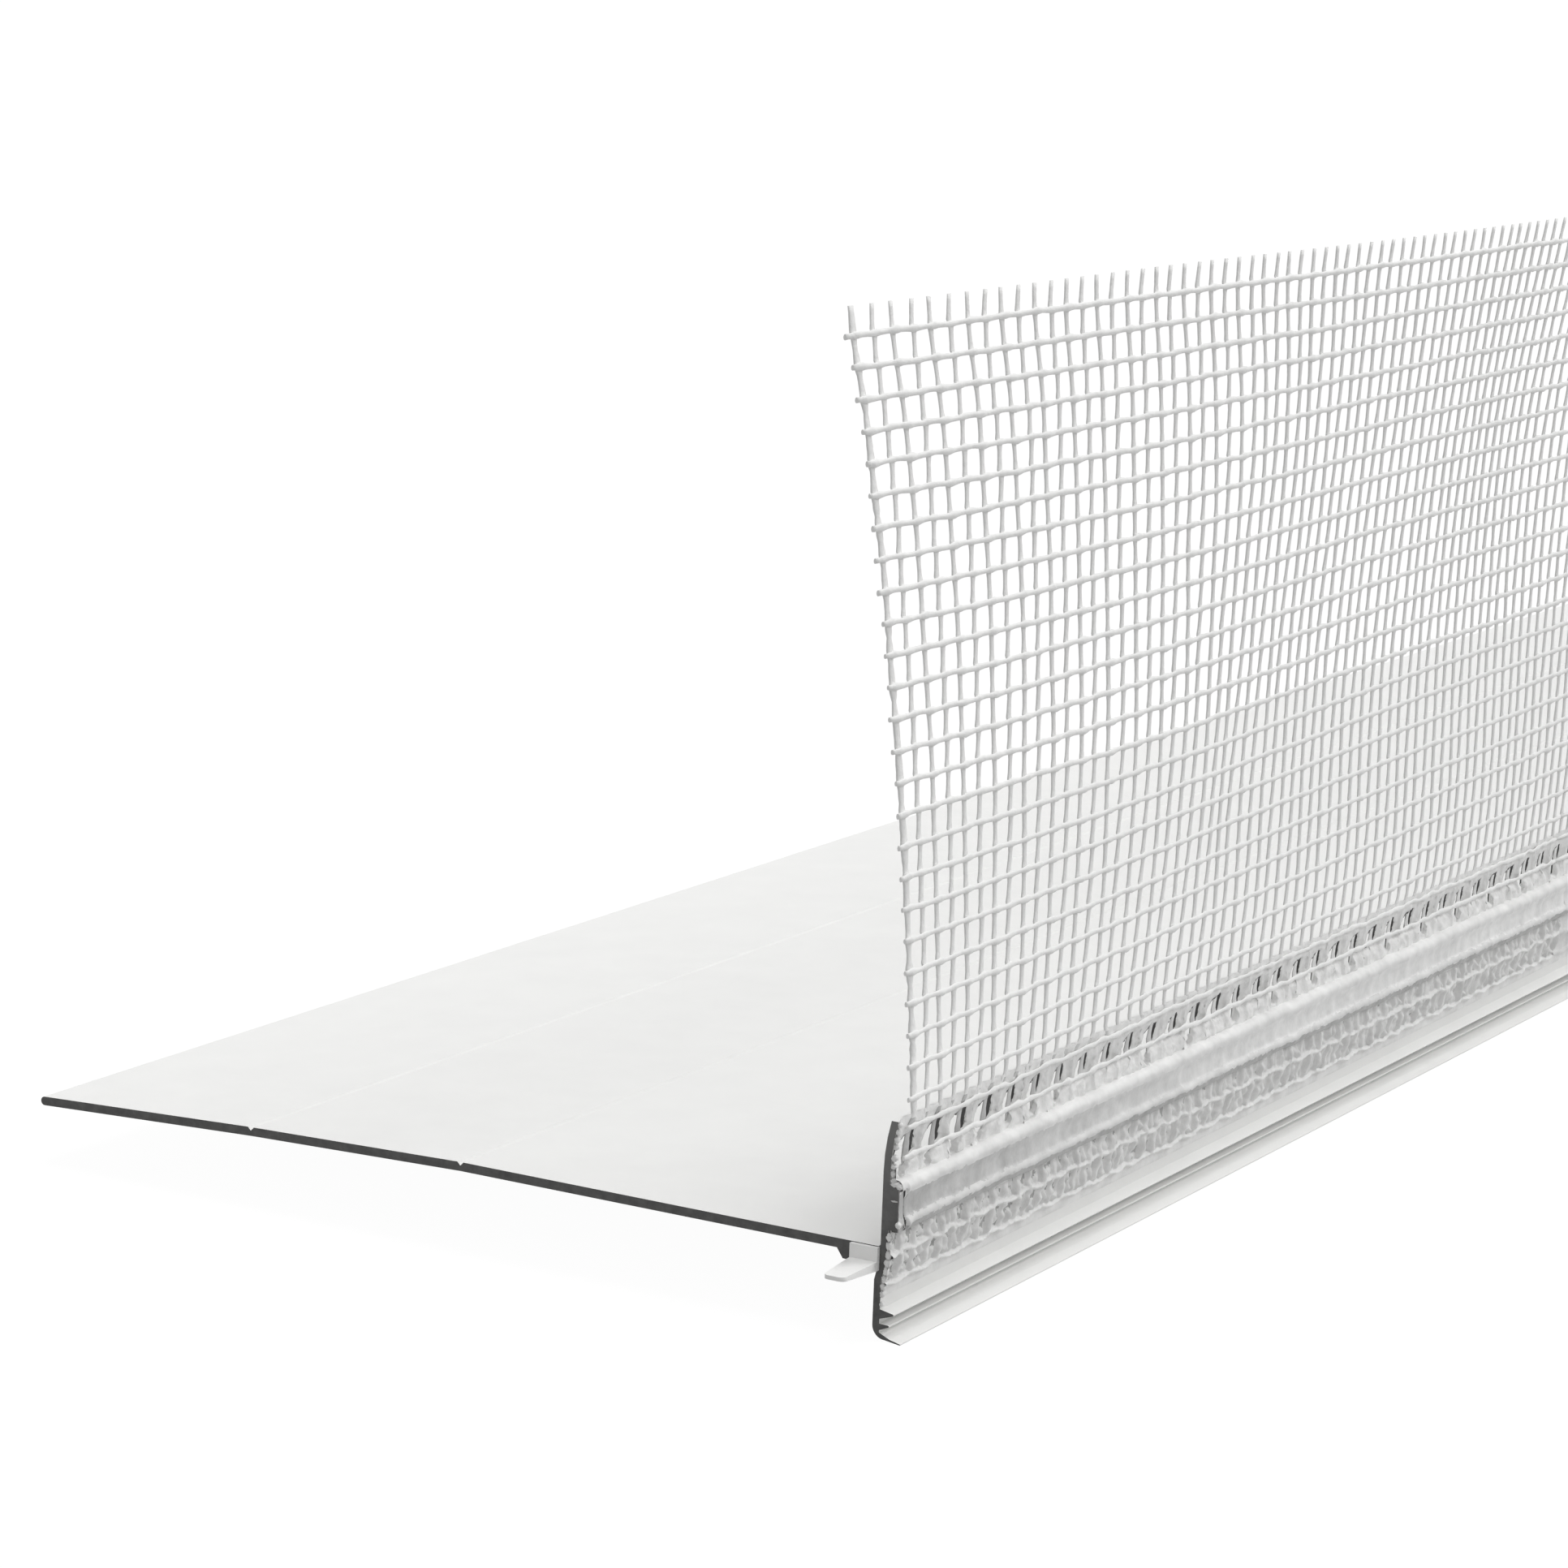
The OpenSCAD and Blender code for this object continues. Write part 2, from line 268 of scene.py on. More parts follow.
# %% Node group: cut faces
def cut_face_group():
    group = bpy.data.node_groups.new("cut_faces", "ShaderNodeTree")
    socket(group, "Limit", "NodeSocketFloat", value=0.7)
    socket(group, "Mask", "NodeSocketFloat", "OUTPUT")
    nodes, links = group.nodes, group.links
    inside, outside = nodes.new("NodeGroupInput"), nodes.new("NodeGroupOutput")
    facing = nodes.new("ShaderNodeNewGeometry")
    parts = nodes.new("ShaderNodeSeparateXYZ")
    size = nodes.new("ShaderNodeMath")
    size.operation = "ABSOLUTE"
    over = nodes.new("ShaderNodeMath")
    over.operation = "GREATER_THAN"
    links.new(facing.outputs["True Normal"], parts.inputs[0])
    links.new(parts.outputs["Y"], size.inputs[0])
    links.new(size.outputs[0], over.inputs[0])
    links.new(inside.outputs["Limit"], over.inputs[1])
    links.new(over.outputs[0], outside.inputs["Mask"])
    return group


CUT_FACES = cut_face_group()
print("group", CUT_FACES.name)


# %% [markdown]
# ## Finishes
# The profile is white, satin PVC right through. Its cut faces, wherever the stock is sawn or
# punched, get a dark painted shade. The weld plastic, the yarn's coat and the connector are white
# too, but each has its own gloss and grain.


# %% Helpers for materials
def new_material(name, roughness=0.4):
    made = bpy.data.materials.new(name)
    made.use_nodes = True
    shader = made.node_tree.nodes["Principled BSDF"]
    shader.inputs["Roughness"].default_value = roughness
    return made, made.node_tree.nodes, made.node_tree.links, shader


def mottled(nodes, light, dark, scale, contrast, roughness):
    made = nodes.new("ShaderNodeGroup")
    made.node_tree = MOTTLING
    made.inputs["Light"].default_value = (*light, 1)
    made.inputs["Dark"].default_value = (*dark, 1)
    made.inputs["Scale"].default_value = scale
    made.inputs["Contrast"].default_value = contrast
    made.inputs["Roughness"].default_value = roughness
    return made


def bump(nodes, links, height, shader, distance):
    made = nodes.new("ShaderNodeBump")
    made.inputs["Distance"].default_value = distance
    made.inputs["Strength"].default_value = 1.0
    links.new(height, made.inputs["Height"])
    links.new(made.outputs[0], shader.inputs["Normal"])
    return made


# %% PVC skin, with painted shade on its cut faces
SKIN_LIGHT, SKIN_DARK = (0.90, 0.90, 0.885), (0.85, 0.85, 0.84)
# Painted shade for the cut faces: a light and a dark tone, and a paler one for the top of the sawn
# end
CUT_SHADE_LIGHT, CUT_SHADE_DARK = (0.125, 0.125, 0.122), (0.065, 0.065, 0.065)
CUT_SHADE_TOP = (0.20, 0.20, 0.196)
# The painted shade grows paler from this height up, only on faces this near to the sawn end
PALER_FROM, PALER_DEPTH = 14, 0.2
BUMP = 0.2 * MM

pvc, nodes, links, shader = new_material("pvc_skin_and_painted_cut_shade")
skin = mottled(nodes, SKIN_LIGHT, SKIN_DARK, 90.0, 1.2, 0.42)
cut_shade = mottled(nodes, CUT_SHADE_LIGHT, CUT_SHADE_DARK, 700.0, 2.0, 0.7)
cut = nodes.new("ShaderNodeGroup")
cut.node_tree = CUT_FACES
# At the sawn end the painted shade grows paler towards the leg's top
place = nodes.new("ShaderNodeTexCoord")
parts = nodes.new("ShaderNodeSeparateXYZ")
height = nodes.new("ShaderNodeMapRange")
height.inputs["From Min"].default_value = PALER_FROM * MM
height.inputs["From Max"].default_value = (LEG_H + LIP_DROP) * MM
at_end = nodes.new("ShaderNodeMath")
at_end.operation = "LESS_THAN"
at_end.inputs[1].default_value = (near_y + PALER_DEPTH) * MM
paler = nodes.new("ShaderNodeMath")
paler.operation = "MULTIPLY"
links.new(place.outputs["Object"], parts.inputs[0])
links.new(parts.outputs["Z"], height.inputs["Value"])
cut_shade_colour = nodes.new("ShaderNodeMix")
cut_shade_colour.data_type = "RGBA"
cut_shade_colour.inputs["B"].default_value = (*CUT_SHADE_TOP, 1)
links.new(parts.outputs["Y"], at_end.inputs[0])
links.new(height.outputs["Result"], paler.inputs[0])
links.new(at_end.outputs[0], paler.inputs[1])
links.new(paler.outputs[0], cut_shade_colour.inputs["Factor"])
links.new(cut_shade.outputs["Color"], cut_shade_colour.inputs["A"])
colour = nodes.new("ShaderNodeMix")
colour.data_type = "RGBA"
links.new(cut.outputs["Mask"], colour.inputs["Factor"])
links.new(skin.outputs["Color"], colour.inputs["A"])
links.new(cut_shade_colour.outputs["Result"], colour.inputs["B"])
links.new(colour.outputs["Result"], shader.inputs["Base Color"])
rough = nodes.new("ShaderNodeMix")
links.new(cut.outputs["Mask"], rough.inputs["Factor"])
links.new(skin.outputs["Roughness"], rough.inputs["A"])
links.new(cut_shade.outputs["Roughness"], rough.inputs["B"])
links.new(rough.outputs["Result"], shader.inputs["Roughness"])
bump(nodes, links, skin.outputs["Height"], shader, BUMP)
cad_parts["profile"].data.materials.clear()
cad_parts["profile"].data.materials.append(pvc)
print("profile keeps its CAD shape, with", pvc.name)

# %% [markdown]
# The other finishes differ only in their shade, grain and gloss, so one helper makes them. The weld
# plastic is one white, with darker copies that are painted shade: on the bead's face and the strands
# pressed on the leg, a lighter one on the lower ridge, and the darkest in the band's foot and the
# glued zone's pits. The bead's painted shade is deep near the end and fades along the stock, so its
# finish mixes two shades there.

# %% Yarn coats, weld plastic with its painted shades, and connector plastic
# Painted shade on the bead: a light and a dark tone near the end, and paler ones further on
BEAD_SHADE_NEAR = (0.64, 0.64, 0.635), (0.44, 0.44, 0.435)
BEAD_FAR = (0.94, 0.94, 0.93), (0.76, 0.76, 0.755)
BEAD_GREY_TO, BEAD_PALE_FROM = 10, 110


def plain_finish(name, light, dark, scale, contrast, roughness, height=BUMP):
    """A finish that is only mottled, in grey whites."""
    made, nodes, links, shader = new_material(name)
    colours = ((light, light, 0.99 * light), (dark, dark, 0.99 * dark))
    grain = mottled(nodes, *colours, scale, contrast, roughness)
    links.new(grain.outputs["Color"], shader.inputs["Base Color"])
    links.new(grain.outputs["Roughness"], shader.inputs["Roughness"])
    bump(nodes, links, grain.outputs["Height"], shader, height)
    return made


yarn_row = plain_finish("yarn_coat_row", 0.95, 0.87, 900.0, 1.8, 0.5)
yarn_strand = plain_finish("yarn_coat_strand", 0.93, 0.86, 900.0, 1.6, 0.5)
weld = plain_finish("weld_plastic", 0.92, 0.72, 300.0, 2.2, 0.35)
# A lighter copy of painted shade for the band's lower ridge
ridge = plain_finish("weld_ridge_painted_shade", 0.82, 0.62, 300.0, 2.2, 0.4)
# The darkest painted shade, for the band's foot and the glued zone's pits
crease_shade = plain_finish("weld_painted_crease_shade", 0.55, 0.36, 400.0, 2.0, 0.5)
# A near black line of painted shade, in the band's seam and on the torn film's last ring
painted_shade_line = plain_finish("painted_shade_line", 0.11, 0.06, 900.0, 2.0, 0.7)
moulded = plain_finish("moulded_plastic", 0.95, 0.90, 500.0, 1.0, 0.35, height=BUMP / 2)

bead, nodes, links, shader = new_material("weld_bead_painted_shade")
near_grain = mottled(nodes, *BEAD_SHADE_NEAR, 260.0, 2.6, 0.4)
far_grain = mottled(nodes, *BEAD_FAR, 260.0, 2.6, 0.4)
place = nodes.new("ShaderNodeTexCoord")
parts = nodes.new("ShaderNodeSeparateXYZ")
along = nodes.new("ShaderNodeMapRange")
along.inputs["From Min"].default_value = (near_y + BEAD_GREY_TO) * MM
along.inputs["From Max"].default_value = (near_y + BEAD_PALE_FROM) * MM
mixed = nodes.new("ShaderNodeMix")
mixed.data_type = "RGBA"
links.new(place.outputs["Object"], parts.inputs[0])
links.new(parts.outputs["Y"], along.inputs["Value"])
links.new(along.outputs["Result"], mixed.inputs["Factor"])
links.new(near_grain.outputs["Color"], mixed.inputs["A"])
links.new(far_grain.outputs["Color"], mixed.inputs["B"])
links.new(mixed.outputs["Result"], shader.inputs["Base Color"])
links.new(near_grain.outputs["Roughness"], shader.inputs["Roughness"])
bump(nodes, links, near_grain.outputs["Height"], shader, BUMP)
finishes = (pvc, yarn_row, yarn_strand, weld, ridge, bead, crease_shade, painted_shade_line, moulded)
print("finishes:", [m.name for m in finishes])


# %% [markdown]
# ## Building surfaces from arrays
# The weld, the glued zone and the yarns are all grids of points: a course along the piece times a
# ring or a section across it. One helper turns such arrays into a mesh, which is much faster than
# adding vertices one by one.


# %% Helper: mesh from grids
def quads_of(rows, columns, closed):
    """Corner numbers of the quads of one grid, which is closed across its columns or open."""
    r = np.arange(rows - 1)[:, None]
    c = np.arange(columns if closed else columns - 1)[None, :]
    n = (c + 1) % columns
    corners = [r * columns + c, r * columns + n, (r + 1) * columns + n, (r + 1) * columns + c]
    return np.stack(corners, -1).reshape(-1, 4)


def piece_from_grids(name, grids, closed, materials, capped=True, picks=None):
    """grids has the shape (pieces, rows, columns, 3). Capped tubes get a flat face at both ends.

    picks is the number of each quad's material, for one grid or for all of them.
    """
    pieces, rows, columns = grids.shape[:3]
    first_point = (np.arange(pieces) * rows * columns)[:, None]
    faces = (quads_of(rows, columns, closed)[None] + first_point[:, :, None]).reshape(-1, 4)
    if closed and capped:
        ring = np.arange(columns)
        last_ring = first_point + (rows - 1) * columns + ring
        caps = np.concatenate([first_point + ring[::-1], last_ring])
    else:
        caps = np.zeros((0, columns), int)
    loops = np.concatenate([faces.ravel(), caps.ravel()])
    cap_starts = len(faces) * 4 + np.arange(len(caps)) * columns
    starts = np.concatenate([np.arange(len(faces)) * 4, cap_starts])
    points = grids.reshape(-1, 3)
    mesh = bpy.data.meshes.new(name)
    mesh.vertices.add(len(points))
    mesh.vertices.foreach_set("co", points.ravel().astype(np.float32))
    mesh.loops.add(len(loops))
    mesh.loops.foreach_set("vertex_index", loops.astype(np.int32))
    mesh.polygons.add(len(starts))
    mesh.polygons.foreach_set("loop_start", starts.astype(np.int32))
    for m in materials:
        mesh.materials.append(m)
    mesh.update(calc_edges=True)
    smooth = np.ones(len(starts), bool)
    smooth[len(faces):] = False
    mesh.polygons.foreach_set("use_smooth", smooth)
    if picks is not None:
        index = np.zeros(len(starts), np.int32)
        index[:len(faces)] = np.resize(picks, len(faces))
        mesh.polygons.foreach_set("material_index", index)
    mesh.validate()
    made = bpy.data.objects.new(name, mesh)
    scene.collection.objects.link(made)
    print(name, "has", 2 * len(faces) + len(caps) * (columns - 2), "triangles")
    return made


print("surfaces are made from grids of points")

# %% [markdown]
# Real plastic and yarn are irregular in a soft way. All of that comes from seeded waves, one along
# a line and one over a surface. A set of waves is a short table, which each piece names below.

# %% Helpers: soft shapes and soft random waves
WAVE_VALUES, GRID_VALUES = 4096, (512, 64)


def soft_step(x):
    """0 below 0, 1 above 1, and a smooth rise between."""
    x = np.clip(x, 0, 1)
    return x * x * (3 - 2 * x)


def bell(x, width):
    """1 where x is 0, falling softly away to nothing over a few widths."""
    return np.exp(-(np.asarray(x) / width) ** 2)


def plateau(x, half, power):
    """1 where x is small, falling away around half. A higher power falls more steeply."""
    return 1 / (1 + (x / half) ** power)


def around(sides):
    """The angles of a ring's points, as the last axis of a grid."""
    return (np.arange(sides) / sides * 2 * np.pi)[None, None, :]


def smooth_noise(x, wavelength, seed):
    """A soft random wave between -1 and 1 along x, the same on every run."""
    values = np.random.default_rng(seed).uniform(-1, 1, WAVE_VALUES)
    t = np.asarray(x, float) / wavelength
    i = np.floor(t).astype(int)
    f = t - i
    f = f * f * (3 - 2 * f)
    return values[i % WAVE_VALUES] * (1 - f) + values[(i + 1) % WAVE_VALUES] * f


def smooth_noise_2d(x, y, wavelength_x, wavelength_y, seed):
    """The same over a surface."""
    values = np.random.default_rng(seed).uniform(-1, 1, GRID_VALUES)
    across, up = GRID_VALUES
    tx, ty = x / wavelength_x, y / wavelength_y
    i, j = np.floor(tx).astype(int), np.floor(ty).astype(int)
    f, g = tx - i, ty - j
    f, g = f * f * (3 - 2 * f), g * g * (3 - 2 * g)
    a = values[i % across, j % up] * (1 - f) + values[(i + 1) % across, j % up] * f
    b = values[i % across, (j + 1) % up] * (1 - f) + values[(i + 1) % across, (j + 1) % up] * f
    return a * (1 - g) + b * g


def play(waves, place, number=0):
    """Sum of waves. Each is an amount, a step between neighbours, a length and a seed."""
    return sum(amount * smooth_noise(place + number * step, length, seed)
               for amount, step, length, seed in waves)


def lumps(waves, x, y):
    """Sum of waves over a surface. Each is an amount, two lengths and a seed."""
    return sum(amount * smooth_noise_2d(x, y, along, up, seed) for amount, along, up, seed in waves)


print("a wave repeats after", WAVE_VALUES, "lengths")

# %% [markdown]
# ## The mesh strip's hang
# The strip is welded along its lower edge and stands free above the leg. Its near corner leans
# back over the sheet, and further along it leans gently forward. Every yarn follows the same
# two functions, so the weave stays together.

# %% Lean and rise of the mesh
LEAN_FORWARD, LEAN_CORNER, CORNER_REACH = 8.0, 20.7, 85.0
LEAN_START, LEAN_WAVE, LEAN_STEADY = 200, 950, 0.35
LEAN_FAR, FAR_REACH = 12, 70
LEAN_BEND = 0.48
RISE_MEAN, RISE_WAVE, RISE_START, RISE_LENGTH = 1.3, 1.2, 90, 720
# How much more the top, the middle and the foot rise: at the near end, further on, and from there
TOP_RISE, TOP_GAIN, TOP_REACH = -0.4, 0.7, 85
MIDDLE_RISE, MIDDLE_GAIN, MIDDLE_FROM, MIDDLE_REACH = 0.25, 1.3, 60, 110
FOOT_RISE, FOOT_GAIN, FOOT_REACH = 0.35, 0.6, 110
WELD_PULL, WELD_PULL_OVER = 0.5, 5
FREE_HEIGHT = MESH_TOP - LEG_H


def lean_at(y):
    along = np.maximum(0, y - LEAN_START) / LEAN_WAVE
    steady = LEAN_FORWARD * (LEAN_STEADY + (1 - LEAN_STEADY) * np.cos(2 * np.pi * along))
    corner = LEAN_CORNER * np.exp(-y / CORNER_REACH)
    return steady - corner - LEAN_FAR * np.exp(-(LENGTH - y) / FAR_REACH)


def hang(y, z):
    """How far the mesh is moved to the front and up at a place along the stock and a height."""
    t = np.clip((z - LEG_H) / FREE_HEIGHT, 0, 1.2)
    forward = lean_at(y) * ((1 - LEAN_BEND) * t + LEAN_BEND * t * t)
    wave = RISE_MEAN + RISE_WAVE * np.sin(2 * np.pi * (y - RISE_START) / RISE_LENGTH)
    rise = wave * t - forward**2 / (2 * FREE_HEIGHT)
    top = (TOP_RISE + TOP_GAIN * soft_step(y / TOP_REACH)) * t
    middle = MIDDLE_RISE + MIDDLE_GAIN * soft_step((y - MIDDLE_FROM) / MIDDLE_REACH)
    foot = (FOOT_RISE + FOOT_GAIN * soft_step(y / FOOT_REACH)) * np.clip(1 - t, 0, 1) ** 3
    pull = WELD_PULL * np.clip((LEG_H - z) / WELD_PULL_OVER, 0, 1)
    return forward, rise + top + middle * 4 * t * (1 - t) + foot + pull


print("lean at the near corner", round(float(lean_at(0)), 1), "mm")

# %% [markdown]
# A strip that has been rolled, bent and welded is never quite regular. Its upright yarns are pushed
# along the stock here and there, so they stand bunched in one place and wider apart in another.
# Each push is a soft bump over the strip: how far, where along it and over which reach, and at
# which share of the free height and over which reach.

# %% Side play of the upright yarns
PUSHES = (
    (3.0, 91, 32, 0.74, 0.22),
    (4.7, 72, 35, 0.37, 0.30),
    (-1.1, 60, 80, 1.0, 0.08),
    (4.6, 167, 84, 0.06, 0.24),
    (1.5, 30, 19, 0.66, 0.39),
    (-1.2, 91, 8, 0.25, 0.14),
    (-4.6, 195, 28, 0.7, 0.3),
)
WELD_SHIFT, WELD_SHIFT_TALL = 0.7, 0.5


def side_play(y, z):
    t = np.clip((z - LEG_H) / FREE_HEIGHT, 0, 1.05)
    shift = WELD_SHIFT * bell(t, WELD_SHIFT_TALL)
    for amount, along, reach, height, tall in PUSHES:
        shift = shift + amount * bell(y - along, reach) * bell(t - height, tall)
    return shift


print("side play at mid height by the bunch", round(float(side_play(80.0, 78.0)), 1), "mm")

# %% [markdown]
# ## Yarns
# Each upright strand runs behind the lengthwise yarns and swells where it is welded to them. It
# could be a curve with a bevel, but rings of points allow a flat section and a pressed foot. Near
# the end that the photo shows the tubes have more points, and the rest of the stock has fewer.

# %% Strands
STRAND_X, STRAND_RY, STRAND_RX = 2.03, 0.46, 0.20
STRAND_WOBBLE = ((0.2, 977.0, 12.0, 3), (0.05, 571.0, 3.7, 4))
STRAND_SWELL = ((0.10, 313.0, 2.6, 5),)
FIRST_THICKER, FIRST_ROUGH = 0.3, ((0.3, 0, 0.9, 6),)
STRAND_KNOT, KNOT_REACH, NO_ROW = 0.28, 0.65, 9
TWIST = 0.4
# Over this height a strand is pressed down on the leg: wider, flatter and half buried
PRESSED_FROM, PRESSED_OVER = LEG_H + 0.5, 3
PRESSED_WIDER, PRESSED_FLATTER, PRESSED_OFF, HELD_SHIFT = 0.16, 0.35, 0.18, 0.45
# Rings a mesh cell and sides of the tubes, for the near stretch and the far one
STRAND_NEAR, STRAND_FAR = (5, 8), (1.25, 4)
strand_count = int((LENGTH - 2 * STRAND_START) / STRAND_PITCH) + 1


def strand_grids(indices, rings_a_cell, sides):
    bottom, top = BAND_TOP - 1.0, MESH_TOP + FRINGE
    rings = int((top - bottom) / ROW_PITCH * rings_a_cell) + 1
    z = np.linspace(bottom, top, rings)[None, :, None]
    i = np.asarray(indices)[:, None, None]
    a = around(sides)
    to_row = (MESH_TOP - z) / ROW_PITCH
    from_row = np.where(z > MESH_TOP + 1, NO_ROW, (to_row - np.round(to_row)) * ROW_PITCH)
    y0 = STRAND_START + i * STRAND_PITCH
    shift = side_play(y0, z)
    y = y0 + shift + play(STRAND_WOBBLE, z, i) * np.clip((z - LEG_H) / 10, 0.25, 1)
    # Every second strand is twisted the other way, so it leans within each cell
    y = y + TWIST * (0.5 - (to_row - np.floor(to_row))) * (i % 2)
    forward, up = hang(y, z)
    swell = 1 + play(STRAND_SWELL, z, i)
    swell = swell + np.where(i == 0, FIRST_THICKER + play(FIRST_ROUGH, z), 0)
    pressed = soft_step((PRESSED_FROM - z) / PRESSED_OVER)
    ry = STRAND_RY * swell + STRAND_KNOT * bell(from_row, KNOT_REACH) + PRESSED_WIDER * pressed
    rx = STRAND_RX * swell * (1 - PRESSED_FLATTER * pressed)
    x = STRAND_X - (STRAND_X - leg_front(z) - PRESSED_OFF) * pressed + forward
    # Where it lies on the leg each strand keeps its regular place, or its neighbour's
    off = shift - HELD_SHIFT
    y = y - pressed * (off - STRAND_PITCH * np.round(off / STRAND_PITCH))
    return placed(x + rx * np.cos(a), y + ry * np.sin(a), z + up)


near_count = int((DETAIL_END - STRAND_START) / STRAND_PITCH)
near_grid = strand_grids(np.arange(near_count), *STRAND_NEAR)
# Where a strand lies on the leg it takes the bead's finish, with its painted shade
on_leg = near_grid[0, 1:, 0, 2] / MM - LIP_DROP < LEG_H
strands_near = piece_from_grids("mesh_strands_near", near_grid, True, [yarn_strand, bead],
                                picks=np.repeat(on_leg, STRAND_NEAR[1]))
far_grid = strand_grids(np.arange(near_count, strand_count), *STRAND_FAR)
strands_far = piece_from_grids("mesh_strands_far", far_grid, True, [yarn_strand])
for made in (strands_near, strands_far):
    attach(made, "root")
    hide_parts("mesh_strands")

# %% [markdown]
# Each lengthwise yarn waves over and under the strands, with a knot at every crossing. It follows
# the same side play as they do, so its knots stay on them, also where they are bunched.

# %% Rows
ROW_X, ROW_RZ, ROW_RX = 2.40, 0.36, 0.19
ROW_WAVE, ROW_TURN = 0.06, 0.7
ROW_SAG, ROW_SWELL = ((0.10, 411.0, 9.0, 8),), ((0.15, 173.0, 1.9, 9),)
ROW_KNOT, KNOT_TURNS = 0.42, 0.25
STUB, LOW_STUB, STUB_PLAY = 1.75, 2.6, ((0.25, 5.0, 1.0, 11),)
# The lowest rows are molten on the leg: further back, thinner and more uneven
MOLTEN_BACK, MOLTEN_THINNER, MOLTEN_SAG = 0.30, 0.12, ((0.16, 97.0, 2.4, 10),)
ROW_END = LENGTH - 1.2
ROW_NEAR, ROW_FAR = (6, 8), (1.25, 4)


def row_grids(rows, y_from, y_to, rings_a_cell, sides):
    k = np.asarray(rows)[:, None, None]
    a = around(sides)
    z = MESH_TOP - k * ROW_PITCH
    # A yarn that starts at the near end sticks out a little past the first strand
    past = np.where(k == ROW_COUNT - 1, LOW_STUB, STUB)
    stub = STRAND_START + side_play(STRAND_START, z) - past + play(STUB_PLAY, 0, k)
    start = stub if y_from is None else y_from
    count = int(round((y_to - np.mean(start)) / STRAND_PITCH * rings_a_cell)) + 1
    y = start + (y_to - start) * np.linspace(0, 1, count)[None, :, None]
    forward, up = hang(y, z)
    s = (y - side_play(y, z) - STRAND_START) / STRAND_PITCH
    turns = 1 + KNOT_TURNS * np.cos(np.pi * np.round(s))
    knot = ROW_KNOT * bell((s - np.round(s)) * STRAND_PITCH, KNOT_REACH) * turns
    molten = np.where(z < LEG_H, 1.0, 0.0)
    z = z + play(ROW_SAG, y, k) + ROW_WAVE * np.cos(np.pi * s + k * ROW_TURN)
    z = z + molten * play(MOLTEN_SAG, y, k)
    x = ROW_X - MOLTEN_BACK * molten + forward + ROW_WAVE * np.cos(np.pi * s)
    size = 1 + play(ROW_SWELL, y, k) * (1 + molten) - MOLTEN_THINNER * molten + knot
    return placed(x + ROW_RX * size * np.cos(a), y, z + up + ROW_RZ * size * np.sin(a))


row_split = STRAND_START + (near_count - 0.5) * STRAND_PITCH
every_row = np.arange(ROW_COUNT)
near_grid = row_grids(every_row, None, row_split, *ROW_NEAR)
rows_near = piece_from_grids("mesh_rows_near", near_grid, True, [yarn_row])
far_grid = row_grids(every_row, row_split, ROW_END, *ROW_FAR)
rows_far = piece_from_grids("mesh_rows_far", far_grid, True, [yarn_row])
for made in (rows_near, rows_far):
    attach(made, "root")
    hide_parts("mesh_rows")

# %% [markdown]
# ## The weld band
# A hot bead of plastic holds the mesh on the leg. Its face is lumpy, with a bright ridge along its
# upper edge and a lower one near its foot. At the near end the bead stops short, and a plain cut
# block shows. One section runs along the stock and is pushed out and up by waves, which keeps the
# ridges whole, as a bead that was drawn along in one go has them.

# %% Weld band
BAND_CORNERS = np.array([
    [0.95, 20.95], [1.6, 21.2], [2.2, 21.15], [2.7, 20.85], [3.0, 20.3], [2.98, 19.85],
    [2.82, 19.45], [2.66, 19.0], [2.42, 18.4], [2.37, 18.0], [2.37, 17.0], [2.42, 16.35],
    [2.64, 16.15], [2.82, 15.95], [2.94, 15.6], [2.9, 15.3], [2.72, 15.12], [2.65, 14.75],
    [2.48, 14.36], [1.9, 14.3], [0.95, 14.3],
])
BAND_FACE, BAND_FACE_REACH, BAND_MIDDLE = 17.5, 1.2, 18
BAND_SKIN, BAND_ROUND = 0.06, 9
BAND_LUMPS = ((0.08, 2.6, 1.4, 21), (0.045, 0.9, 0.6, 22))
BAND_WAVES = ((0.10, 0, 6.0, 23), (0.07, 0, 1.7, 25))
BLOTCH, BLOTCH_TURN = 0.06, ((1, 0, 9.0, 24),)
PLAIN_END, PLAIN_OVER, PLAIN_TOP, PLAIN_OUT = 1.7, 0.5, 19.7, 0.12
SEAM_AT, SEAM_W, SEAM_DEPTH, SEAM_TOP = 1.2, 0.07, 0.1, 20.2
SEAM_SLANT, SEAM_WAVES = 0.04, ((0.08, 0, 1.2, 27),)
FOOT_LUMP, FOOT_LUMP_Y, FOOT_LUMP_Z = 0.35, (1.9, 0.7), (15.3, 0.8)
# Heights that part the band's finishes, and the play of their edges. Below the upper ridge the face
# is painted with shade, lighter on the lower ridge and darkest at the foot.
UPPER_RIDGE, LOWER_RIDGE, FOOT_SHADE_TOP = 19.3, (15.25, 16.15), 15.2
FINISH_LUMPS = ((0.25, 0.8, 0.5, 26),)
BAND_FINISHES = [weld, bead, crease_shade, painted_shade_line, ridge]
ON_WELD, ON_FACE_SHADE, ON_FOOT_SHADE, ON_SEAM_SHADE, ON_RIDGE_SHADE = range(len(BAND_FINISHES))


def band_section(count):
    """Points of the band's front, from its top back corner round both ridges to its foot."""
    step = np.r_[0, np.cumsum(np.hypot(*np.diff(BAND_CORNERS, axis=0).T))]
    t = np.linspace(0, step[-1], count)
    x, z = (np.interp(t, step, BAND_CORNERS[:, i]) for i in (0, 1))
    x[1:-1], z[1:-1] = ((v[:-2] + 2 * v[1:-1] + v[2:]) / 4 for v in (x, z))
    return x, z, t / step[-1]


